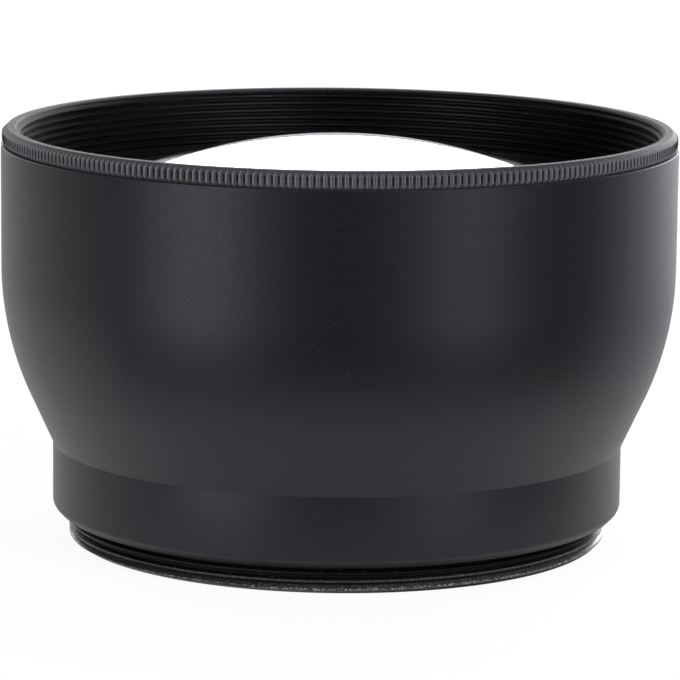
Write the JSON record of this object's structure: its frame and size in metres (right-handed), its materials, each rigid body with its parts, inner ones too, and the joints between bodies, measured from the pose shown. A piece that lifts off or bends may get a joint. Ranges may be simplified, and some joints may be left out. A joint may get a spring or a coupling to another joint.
{
  "type": "tele converter lens",
  "caption": "Screw-on tele converter: black aluminium barrel, straight then curved in to a band, with a knurled front ring, a domed front glass and a male filter thread at the rear.",
  "frame": {"origin": "on the optical axis, in the plane of the rear end face that the part stands on", "axes": "+Z along the optical axis towards the front glass; X and Y are alike round it"},
  "size_m": [0.065, 0.065, 0.0399],
  "materials": {
    "barrel_anodised": "satin black anodised",
    "ring_anodised": "satin black anodised, knurled",
    "mount_anodised": "black anodised, satin band and bright-cut thread",
    "inner_anodised": "matt black anodised",
    "black_acetal": "moulded",
    "baffle_black": "dead matt black",
    "cushion_rubber": "matt",
    "crown_glass": "polished",
    "flint_glass": "polished"
  },
  "bodies": {
    "barrel": {"barrel": "barrel_anodised", "front_crown_lens": "crown_glass", "front_flint_lens": "flint_glass", "baffle_cone": "baffle_black", "rear_cell": "inner_anodised", "flare_stop": "baffle_black", "rear_concave_lens": "crown_glass", "rear_meniscus_lens": "flint_glass", "rear_cushion": "cushion_rubber", "rear_retaining_ring": "inner_anodised", "rear_mount": "mount_anodised"},
    "slip_washer": {"slip_washer": "black_acetal"},
    "front_ring": {"front_ring": "ring_anodised"}
  },
  "joints": [
    {"name": "front_ring_lift", "type": "slide", "parent": "barrel", "child": "slip_washer", "axis": [0, 0, 1], "range_m": [0, 0.003]},
    {"name": "front_ring_turn", "type": "hinge", "parent": "slip_washer", "child": "front_ring", "pos_m": [0, 0, 0.038], "axis": [0, 0, 1], "range_deg": [0, 1440]}
  ],
  "couplings": [
    {"joint": "front_ring_lift", "follows": "front_ring_turn", "m_per_rad": 0.00011937}
  ]
}
